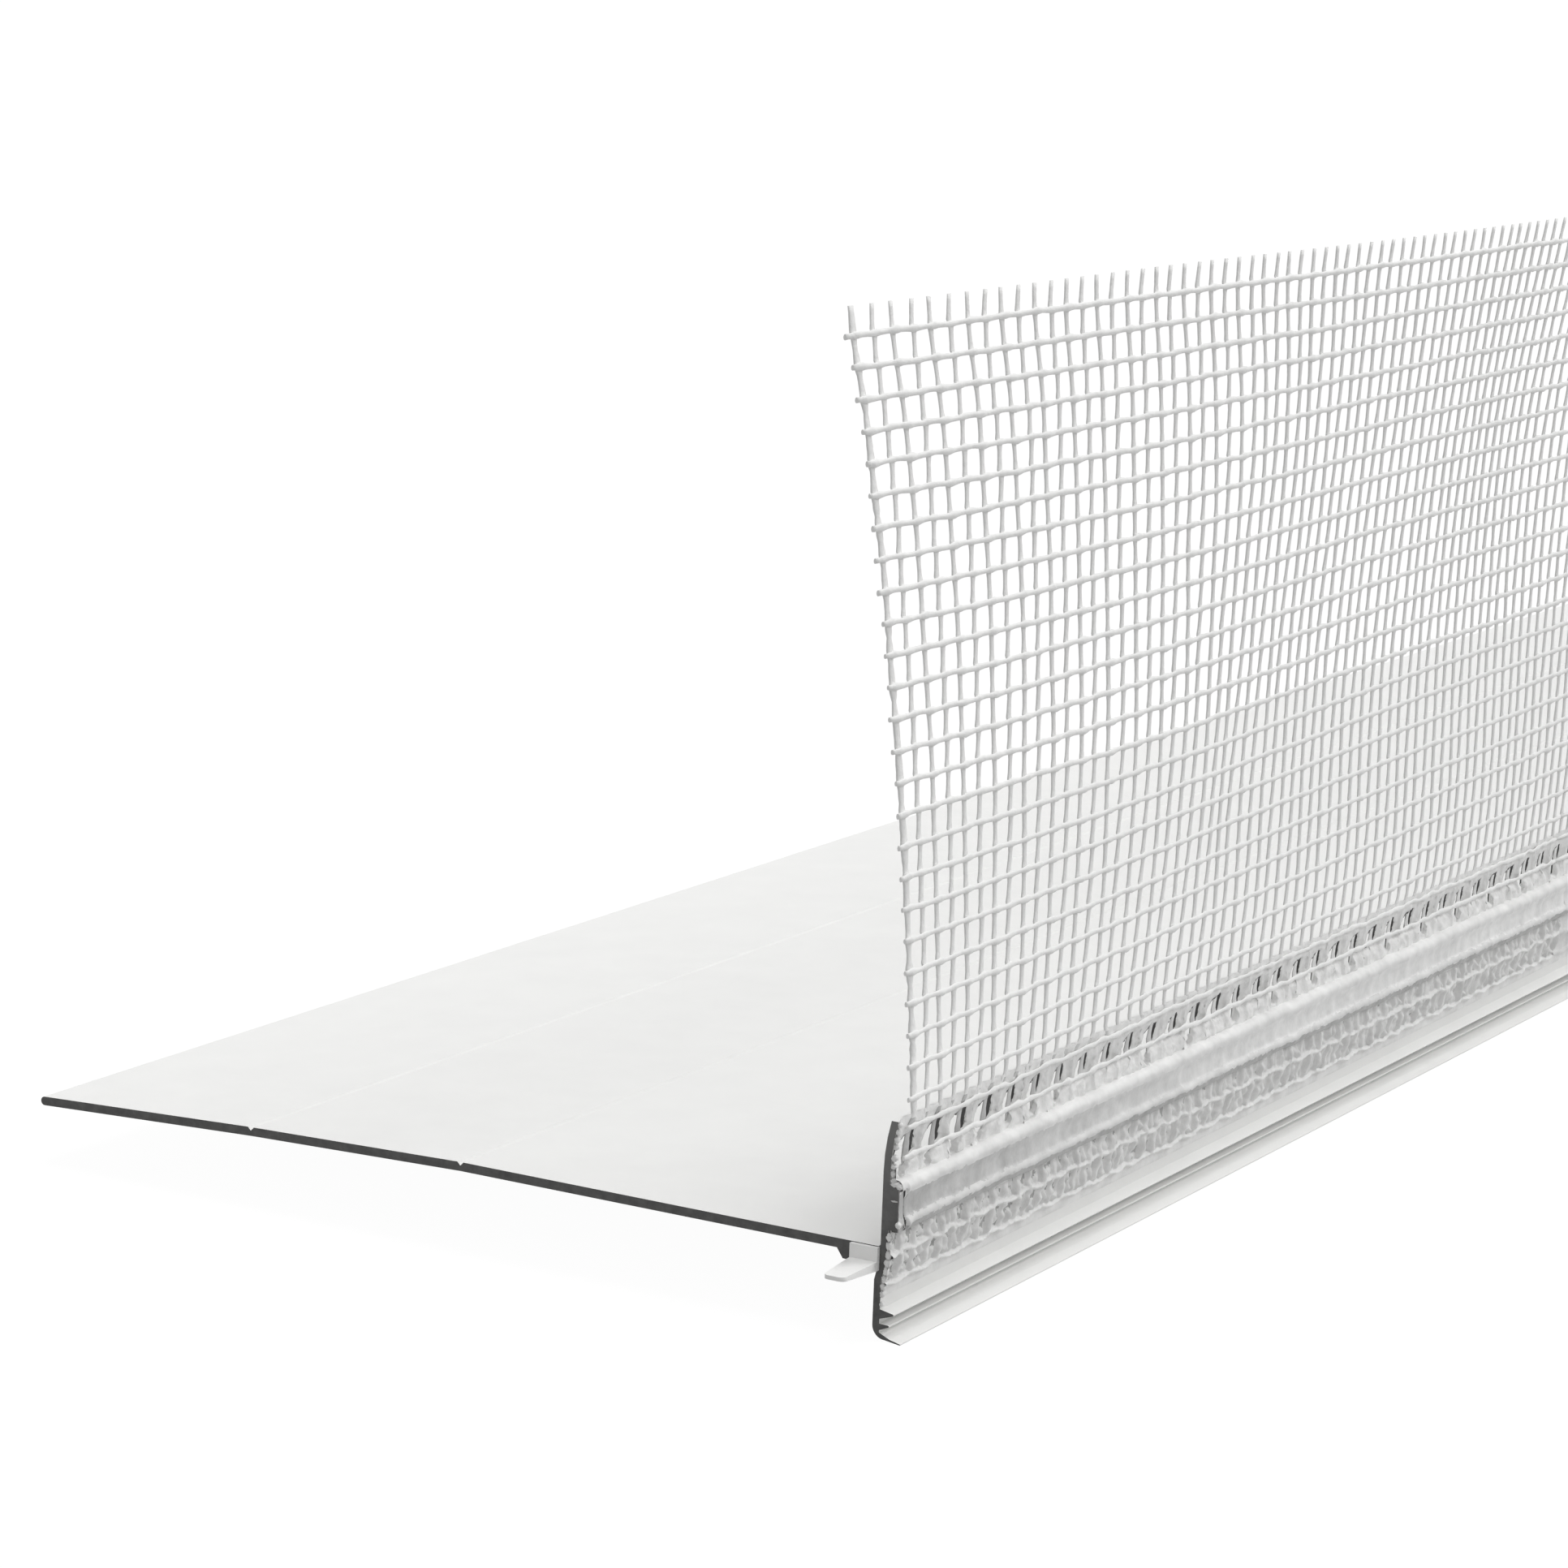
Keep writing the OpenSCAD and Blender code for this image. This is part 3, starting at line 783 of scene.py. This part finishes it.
def band_grid(y, count):
    """The band's points, and the finish of each quad."""
    y = np.asarray(y)[:, None]
    x, z, t = band_section(count)
    turn = 2 * np.pi * y / STRAND_PITCH + play(BLOTCH_TURN, y)
    blotch = BLOTCH * np.sin(turn) * bell(z - BAND_FACE, BAND_FACE_REACH)
    skin = BAND_SKIN + lumps(BAND_LUMPS, y, t * BAND_ROUND) + blotch
    inner = np.clip(np.minimum(t, 1 - t) * 8, 0, 1)
    out = x + np.maximum(skin, 0) * inner
    up = z + play(BAND_WAVES, y) * inner * np.clip(np.abs(z - BAND_MIDDLE) / 2, 0, 1)
    # The plain end has a flat face under a rounded cap, and a thin seam ends it
    plain = soft_step((PLAIN_END - y) / PLAIN_OVER) * np.where(z < PLAIN_TOP, 1, 0.3)
    out = out * (1 - plain) + np.minimum(out, BAND_HOLLOW_X + PLAIN_OUT) * plain
    seam_y = SEAM_AT + SEAM_SLANT * (BAND_FACE - z) + play(SEAM_WAVES, z)
    seam = bell(y - seam_y, SEAM_W)
    out = out - SEAM_DEPTH * seam * np.clip((SEAM_TOP - z) / 0.6, 0, 1) * inner
    (lump_y, wide), (lump_z, tall) = FOOT_LUMP_Y, FOOT_LUMP_Z
    out = out + FOOT_LUMP * bell(y - lump_y, wide) * bell(z - lump_z, tall)
    edge = z + lumps(FINISH_LUMPS, y, z)
    low, high = LOWER_RIDGE
    finish = np.where((edge > low) & (edge < high), ON_RIDGE_SHADE, ON_FACE_SHADE)
    finish = np.where(edge > UPPER_RIDGE, ON_WELD, np.where(edge < FOOT_SHADE_TOP, ON_FOOT_SHADE, finish))
    # The seam gets a thin line of painted shade
    finish = np.where((seam > 0.4) & (z < 20), ON_SEAM_SHADE, finish)
    return placed(out, y, up)[None], finish[1:, 1:].ravel()


BAND_FINE = 1.8
steps = np.r_[np.arange(0.0, BAND_FINE, 0.04), np.arange(BAND_FINE, DETAIL_END, 0.35), DETAIL_END]
near_grid, finish = band_grid(steps, 54)
band_near = piece_from_grids("weld_band_near", near_grid, False, BAND_FINISHES, picks=finish)
far_grid, finish = band_grid(np.linspace(DETAIL_END, LENGTH, 600), 22)
band_far = piece_from_grids("weld_band_far", far_grid, False, BAND_FINISHES, picks=finish)
for made in (band_near, band_far):
    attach(made, "root")

# %% [markdown]
# ## The glued zone
# Under the band the mesh's last rows lie in a skin of weld plastic, so the yarns show as soft bumps
# with pits between them. Bump mapping would look flat at the sawn end and along the edge, so the
# relief is made as one finely divided surface, and its deepest spots get painted shade.

# %% Glued zone
GLUED_SKIN, GLUED_LEAST, GLUED_RIM = 0.12, 0.04, 0.25
PIT_DEPTH, FAR_LOSS, LOSS_FROM, LOSS_OVER = 0.3, 0.6, 20, 110
STRAND_BENDS = ((0.35, 40, 1.9, 31), (0.15, 77, 0.8, 35))
COARSE_LUMPS, FINE_LUMPS = ((1, 1.1, 0.9, 33),), ((1, 0.45, 0.45, 34),)
WIDE_LUMPS = ((0.05, 3.0, 1.2, 42),)
# Bumps over the strands, between them and anywhere: how high, and how far the lumps change that
STRAND_BUMP, STRAND_BUMP_LEAST, STRAND_BUMP_PLAY, STRAND_HALF = 0.85, 0.85, 0.3, 0.62
GAP_BUMP, GAP_BUMP_LEAST, GAP_BUMP_PLAY, GAP_HALF = 0.45, 0.7, 0.9, 0.5
ANY_BUMP, FINE_BUMP = 0.10, 0.03
# The two lengthwise yarns under the skin, with a blob of plastic over each beside every strand
YARN_LINES, YARN_HALF, YARN_BUMP = (11.2, 7.25), 0.42, 0.95
WEAVE, YARN_WAVE = 0.22, 0.12
BLOB, BLOB_Y, BLOB_Z = 0.35, (1.6, 0.6), (1.0, 0.5)
END_LUMPS, END_BULGE, END_REACH = ((0.25, 0.8, 0.7, 43),), 0.12, 0.3
GLUED_FINISHES = [weld, crease_shade, yarn_row]
ON_SKIN, ON_PIT_SHADE, ON_YARN = range(len(GLUED_FINISHES))


def glued_grid(y, count):
    """The glued zone's points, and the finish of each quad."""
    y = np.asarray(y)[:, None]
    z = np.linspace(BAND_Z + 0.1, GLUED_Z, count)[None, :]
    heights = [GLUED_Z, STEP_Z, SHEET_UNDER, BAND_Z]
    face = np.interp(z, heights, [FOOT_FRONT, FOOT_FRONT, LEG_T, LEG_T])
    cell = np.round((y - STRAND_START) / STRAND_PITCH)
    from_strand = y - STRAND_START - cell * STRAND_PITCH - play(STRAND_BENDS, z, cell)
    strand = plateau(from_strand, STRAND_HALF, 6)
    gap = plateau(np.abs(from_strand) - STRAND_PITCH / 2, GAP_HALF, 4)
    lump, fine = lumps(COARSE_LUMPS, y, z), lumps(FINE_LUMPS, y, z)
    out = STRAND_BUMP * strand * (STRAND_BUMP_LEAST + STRAND_BUMP_PLAY * lump)
    out = out + GAP_BUMP * gap * (GAP_BUMP_LEAST + GAP_BUMP_PLAY * lump) + ANY_BUMP * lump
    out = out * soft_step((z - YARN_LINES[1] + 0.2) / 0.8)
    on_yarn = 0
    (blob_y, wide), (blob_z, tall) = BLOB_Y, BLOB_Z
    for number, line in enumerate(YARN_LINES):
        turn = np.pi * y / STRAND_PITCH + number * 1.7 + 2 * smooth_noise(y, 12.0, 36 + number)
        centre = line + WEAVE * np.sin(turn) + YARN_WAVE * smooth_noise(y, 1.8, 38 + number)
        yarn = bell(z - centre, YARN_HALF) * (0.92 + 0.15 * fine)
        on_yarn = np.maximum(on_yarn, yarn)
        out = np.maximum(out, YARN_BUMP * yarn - 0.02)
        blob = bell(np.abs(from_strand) - blob_y, wide) * bell(z - centre - blob_z, tall)
        size = np.clip(0.7 + smooth_noise(cell * 5.0 + number, 1.0, 41), 0, 1.4)
        out = out + BLOB * blob * size
    out = out + FINE_BUMP * fine * np.clip((z - GLUED_Z) / 1.5, 0.2, 1) + lumps(WIDE_LUMPS, y, z)
    out = out + bell(y, 0.7) * lumps(END_LUMPS, y + 3, z)
    depth = np.maximum(GLUED_SKIN + out, GLUED_LEAST) * np.clip((z - GLUED_Z) / GLUED_RIM, 0, 1)
    # The pits' shade is lost little by little along the stock
    shallow = PIT_DEPTH * (1 - FAR_LOSS * soft_step((y - LOSS_FROM) / LOSS_OVER))
    pit = (depth < shallow) & (z > YARN_LINES[1])
    finish = np.where(on_yarn > 0.5, ON_YARN, np.where(pit, ON_PIT_SHADE, ON_SKIN))
    bulge = END_BULGE * bell(y, END_REACH) * (1 + smooth_noise(z, 0.7, 44))
    return placed(face + depth, y - bulge, z)[None], finish[1:, 1:].ravel()


GLUED_FINE = 3
steps = np.r_[np.arange(0, GLUED_FINE, 0.15), np.arange(GLUED_FINE, DETAIL_END, 0.24), DETAIL_END]
near_grid, finish = glued_grid(steps, 60)
glued_near = piece_from_grids("glued_zone_near", near_grid, False, GLUED_FINISHES, picks=finish)
far_grid, finish = glued_grid(np.linspace(DETAIL_END, LENGTH, 1500), 20)
glued_far = piece_from_grids("glued_zone_far", far_grid, False, GLUED_FINISHES, picks=finish)
for made in (glued_near, glued_far):
    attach(made, "root")
    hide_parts("mesh_glued_edge")

# %% [markdown]
# ## The torn film over the slots
# Weld plastic has also run up the leg's front, over the lands between the slots and partly across
# them. Each slot keeps a ragged hole in that film. Through it shows the white sheet behind, and
# beside that the slot's cut wall, dark with painted shade. The film is made slot by slot, as rings
# that go from the torn edge of the hole to the rectangle of its cell, with a last ring turned into
# the slot.

# %% Film over the slots
FILM_TOP, FILM_BOTTOM = 29.15, 20.7
LEG_FILM_TOP = 23.6
# Two outlines in a slot's own cell: the open hole, and the wedge that little-torn film leaves
HOLE = np.array([
    [0.5, 21.2], [0.15, 22.0], [0.1, 23.1], [0.1, 24.2], [0.4, 25.0], [0.9, 25.8], [1.8, 26.5],
    [3.2, 26.85], [4.6, 26.8], [4.3, 26.1], [4.8, 25.5], [4.3, 24.9], [4.7, 24.4], [4.2, 23.9],
    [3.6, 23.5], [2.6, 23.2], [2.0, 22.5], [1.8, 21.7], [1.3, 21.1],
])
WEDGE = np.array([
    [3.9, 23.4], [3.75, 23.9], [3.6, 24.3], [3.5, 24.7], [3.35, 25.1], [3.2, 25.5], [2.95, 25.9],
    [2.5, 26.2], [1.8, 26.35], [1.7, 26.55], [2.6, 26.65], [3.4, 26.8], [4.5, 26.85], [4.4, 26.4],
    [4.2, 25.9], [4.3, 25.4], [4.1, 24.9], [4.15, 24.4], [4.0, 23.8],
])
HOLE_MIDDLE = np.array([2.5, 24.6])
# The first slots are wide open, the next torn part of the way to a wedge, and the rest vary
WIDE_SLOTS, PARTED_SLOTS, LOW_HOLES = 4, 9, 7
PARTED, VARIED, VARIED_PLAY = 0.34, 0.22, ((0.2, 1.3, 1.0, 53),)
TRIM_Y, TRIM_Z, TRIM_SLOPE, CLOSED_BELOW = 3.6, 23.4, 3.2, 23.5
TORN_Y, TORN_Z = ((0.15, 0, 2.6, 54), (0.12, 0, 1.1, 55)), ((0.12, 0, 2.0, 54),)
# The film's face: a thin skin, thicker where a strand is bonded, and drips at its foot
FILM_SKIN, BOND, BOND_PLAY, BOND_REACH, BOND_OFF = 0.16, 0.5, 2.2, 0.75, 0.25
FILM_LUMPS, FILM_DRIPS = ((0.12, 1.0, 0.9, 51), (0.05, 0.45, 0.4, 52)), ((0.25, 0.7, 3.0, 60),)
FOOT_FILM, FOOT_PLAY, FOOT_OVER = 0.6, 1.5, 1.2
# The torn edge shows as a thin rim at the hole's top and turns into the slot on its near side. Above
# the film's foot that last ring is painted dark as shade.
RIM_FROM, RIM_OVER, RIM_W, RIM_PLAY = 25.2, 0.8, 0.22, ((0.14, 0, 1.1, 59),)
NEAR_FROM, NEAR_OVER, NEAR_DEPTH, NEAR_PLAY = 1.5, 1.2, 0.4, ((0.2, 0, 1.1, 56),)
EDGE_IN, EDGE_SHIFT = 0.06, 0.03
FILM_FINISHES = [yarn_row, weld, painted_shade_line]
ON_LIT_FILM, ON_FILM, ON_RIM_SHADE = range(len(FILM_FINISHES))
slot_count = int((LENGTH - SLOT_START - SLOT_W) / SLOT_PITCH) + 1


def closed_outline(corners, count):
    """Evenly spaced points along a closed outline that is given by its corners."""
    loop = np.vstack([corners, corners[:1]])
    step = np.r_[0, np.cumsum(np.hypot(*np.diff(loop, axis=0).T))]
    t = np.linspace(0, step[-1], count, endpoint=False)
    return np.stack([np.interp(t, step, loop[:, i]) for i in (0, 1)], -1)


def film_out(y, z):
    """How far the film's face stands off the leg's front."""
    cell = np.round((y - STRAND_START) / STRAND_PITCH)
    from_strand = y - STRAND_START - cell * STRAND_PITCH - BOND_OFF
    bonded = bell(from_strand, BOND_REACH) * np.clip(1.95 - leg_front(z), 0.1, 1)
    lump, drips = lumps(FILM_LUMPS, y, z), lumps(FILM_DRIPS, y, z)
    foot = soft_step((LEG_FILM_TOP - z) / FOOT_OVER) * (FOOT_FILM + FOOT_PLAY * lump + drips)
    return FILM_SKIN + bonded * (BOND + BOND_PLAY * lump) * (1 - foot) + lump + foot


def torn_holes(slots, seeds, points):
    """The outline of each slot's hole in its own cell, and the angle of each point."""
    hole, wedge = closed_outline(HOLE, points), closed_outline(WEDGE, points)
    turn = np.arctan2(*(hole - HOLE_MIDDLE).T[::-1])
    varied = np.clip(VARIED + play(VARIED_PLAY, 5, slots), 0, 1)
    parted = np.where(slots < PARTED_SLOTS, PARTED, varied)
    closed = np.where(slots < WIDE_SLOTS, 0, parted)[:, None, None]
    y, z = np.broadcast_to(hole[:, 0], (len(slots), points)), hole[:, 1]
    # All but the first lose their lower far corner, and some are closed below
    trimmed = np.maximum(y - TRIM_Y - (z - TRIM_Z) / TRIM_SLOPE, 0)
    y = y - np.where((slots >= WIDE_SLOTS)[:, None], trimmed, 0)
    open_low = (slots < LOW_HOLES) | ((slots >= PARTED_SLOTS) & (slots % 2 == 0))
    z = z + np.where(open_low[:, None], 0, np.maximum(CLOSED_BELOW - z, 0))
    hole = np.stack([y, z], -1) * (1 - closed) + wedge * closed
    return hole + np.stack([play(TORN_Y, seeds), play(TORN_Z, seeds + 500)], -1), turn


def film_grids(slots, points, rings):
    """The film's points, slot by slot, and the finish of each quad."""
    seeds = slots[:, None] * 37.0 + np.arange(points) * 0.9
    hole, turn = torn_holes(slots, seeds, points)
    middle = hole.mean(axis=1, keepdims=True)
    # The cell's rectangle, met by a ray from the hole's middle
    half_land = (SLOT_PITCH - SLOT_W) / 2
    ray = np.stack([np.cos(turn), np.sin(turn)], -1)
    sides = np.where(ray > 0, [SLOT_W + half_land, FILM_TOP], [-half_land, FILM_BOTTOM])
    along = np.where(np.abs(ray) < 1e-6, 1e-6, ray)
    reach = np.min((sides - HOLE_MIDDLE) / along, axis=-1, keepdims=True)
    rectangle = HOLE_MIDDLE + ray * reach
    share = np.linspace(0, 1, rings)[None, :, None, None]
    flat = hole[:, None] * (1 - share) + rectangle[None, None] * share
    y = flat[..., 0] + (SLOT_START + slots * SLOT_PITCH)[:, None, None]
    z = flat[..., 1]
    on_stock = np.clip(y, -0.05, LENGTH)
    face = leg_front(z) + film_out(on_stock, z) * np.clip(share[..., 0] * 4 + 0.25, 0, 1)
    # One more ring turns the torn edge into the slot, or shows it as a thin rim at the top, painted
    # dark as shade above the film's foot
    rim = soft_step((flat[:, :1, :, 1] - RIM_FROM) / RIM_OVER)
    to_middle = middle[:, None] - flat[:, :1]
    to_middle = to_middle / np.linalg.norm(to_middle, axis=-1, keepdims=True)
    reach = rim * (RIM_W + play(RIM_PLAY, seeds)[:, None])
    near_side = (1 - soft_step((flat[:, :1, :, 0] - NEAR_FROM) / NEAR_OVER)) * (1 - rim)
    inner_x = face[:, :1] - EDGE_IN - near_side * (NEAR_DEPTH + play(NEAR_PLAY, seeds)[:, None])
    inner_y = y[:, :1] + reach * to_middle[..., 0] + EDGE_SHIFT
    inner_z = z[:, :1] + reach * to_middle[..., 1] - EDGE_SHIFT
    x = np.concatenate([inner_x, face], axis=1)
    y = np.concatenate([inner_y, on_stock], axis=1)
    z = np.concatenate([inner_z, z], axis=1)
    # The film's foot and its top strip get the paler yarn coat finish, as painted light
    finish = np.where((z < LEG_FILM_TOP - 0.2) | (z > 27), ON_LIT_FILM, ON_FILM)
    finish[:, 1] = np.where(z[:, 1] > LEG_FILM_TOP, ON_RIM_SHADE, ON_LIT_FILM)
    return placed(x, y, z), finish[:, 1:].ravel()


near_slots = int(DETAIL_END / SLOT_PITCH)
near_grid, finish = film_grids(np.arange(near_slots), 72, 12)
film_near = piece_from_grids("slot_film_near", near_grid, True, FILM_FINISHES, False, finish)
far_grid, finish = film_grids(np.arange(near_slots, slot_count), 24, 4)
film_far = piece_from_grids("slot_film_far", far_grid, True, FILM_FINISHES, False, finish)
for made in (film_near, film_far):
    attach(made, "root")

# %% [markdown]
# ## Burrs at the near end
# The saw has left the weld plastic fuzzy where it cut through it. Small rounded lumps sit on the
# leg's front edge and on top of the band's cut block. Each row below is a lump's middle, across
# and up, and its half width and half height.

# %% Burrs
BURRS = (
    (1.75, 20.55, 0.75, 0.42), (2.35, 20.3, 0.5, 0.45), (1.5, 21.0, 0.45, 0.4),
    (1.35, 21.8, 0.35, 0.5), (1.4, 22.8, 0.42, 0.4), (1.45, 23.9, 0.42, 0.45),
    (1.6, 25.3, 0.4, 0.35), (1.7, 26.3, 0.35, 0.4), (1.9, 27.3, 0.4, 0.45),
    (2.1, 28.3, 0.3, 0.3), (1.15, 13.5, 0.4, 0.6), (1.15, 12.4, 0.42, 0.6),
    (1.1, 11.2, 0.45, 0.6), (1.0, 10.1, 0.42, 0.6), (0.85, 9.0, 0.4, 0.6),
    (0.65, 7.9, 0.4, 0.55), (0.5, 6.9, 0.38, 0.5), (0.45, 5.9, 0.35, 0.45),
    (0.4, 4.6, 0.28, 0.35), (1.75, 18.35, 0.55, 0.12), (2.3, 15.3, 0.35, 0.5),
)
BURR_Y, BURR_HALF_Y = 0.2, 0.45
BURR_LUMPS = ((0.22, 0.8, 0.8, 61),)


def burr_grids(rings, sides):
    polar = np.linspace(0.02, np.pi - 0.02, rings)[None, :, None]
    a = around(sides)
    x, z, half_x, half_z = (np.array(v)[:, None, None] for v in zip(*BURRS))
    number = np.arange(len(BURRS))[:, None, None] * 7.0
    rough = 1 + lumps(BURR_LUMPS, polar * 3 + number, np.cos(a) * 2 + 3 + number)
    ring = rough * np.sin(polar)
    y = BURR_Y + BURR_HALF_Y * ring * np.sin(a)
    return placed(x + half_x * ring * np.cos(a), y, z + half_z * rough * np.cos(polar))


burrs = piece_from_grids("near_end_burrs", burr_grids(14, 16), True, [weld])
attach(burrs, "root")

# %% [markdown]
# ## Connector
# The moulded connector has the CAD solid's shape with its edges rounded, as a mould leaves them.

# %% Connector with rounded edges
EDGE_ROUNDING, SAME_POINT = 0.15 * MM, 0.01 * MM

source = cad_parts["connector"]
plug = bpy.data.objects.new("connector_rounded", source.data.copy())
scene.collection.objects.link(plug)
plug.data.materials.clear()
plug.data.materials.append(moulded)
weld_points = plug.modifiers.new("join", "WELD")
weld_points.merge_threshold = SAME_POINT
soften = plug.modifiers.new("soften", "BEVEL")
soften.width, soften.segments, soften.limit_method = EDGE_ROUNDING, 2, "ANGLE"
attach(plug, "root")
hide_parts("connector")
print("connector's edges are rounded by", round(EDGE_ROUNDING / MM, 2), "mm")
